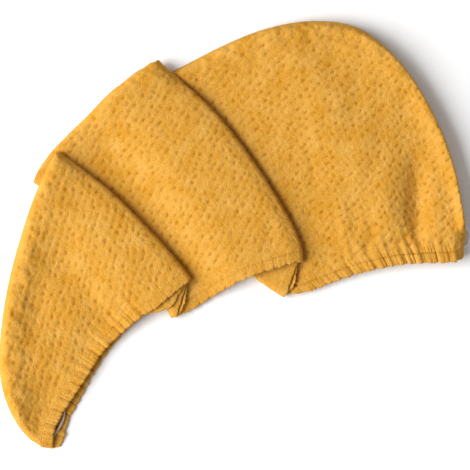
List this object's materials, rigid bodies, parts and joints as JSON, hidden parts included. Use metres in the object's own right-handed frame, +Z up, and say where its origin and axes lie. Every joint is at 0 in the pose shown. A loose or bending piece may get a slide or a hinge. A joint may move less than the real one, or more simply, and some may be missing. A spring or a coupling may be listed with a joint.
{
  "type": "hair turban towel",
  "caption": "Waffle towelling hair turban laid flat, a tapering pouch with a gathered elastic hem, folded in knife pleats, with a button and an elastic loop.",
  "frame": {"origin": "on the surface the towel lies on, under the middle of its outline", "axes": "+Z up from the surface, +X towards the head end with the button, +Y towards the crown seam, away from the open hem"},
  "size_m": [0.4704, 0.4284, 0.0267],
  "materials": {
    "towelling": "mustard yellow waffle-weave cotton towelling, matt and softly fuzzy",
    "hem": "the same towelling turned over and gathered on elastic, with a row of stitches",
    "button": "milky white resin, smooth with a soft gloss",
    "elastic": "off-white braided round elastic"
  },
  "bodies": {
    "root": {"upper_half": "towelling", "under_half": "towelling", "upper_hem": "hem", "under_hem": "hem", "button": "button", "button_loop": "elastic"}
  },
  "joints": []
}
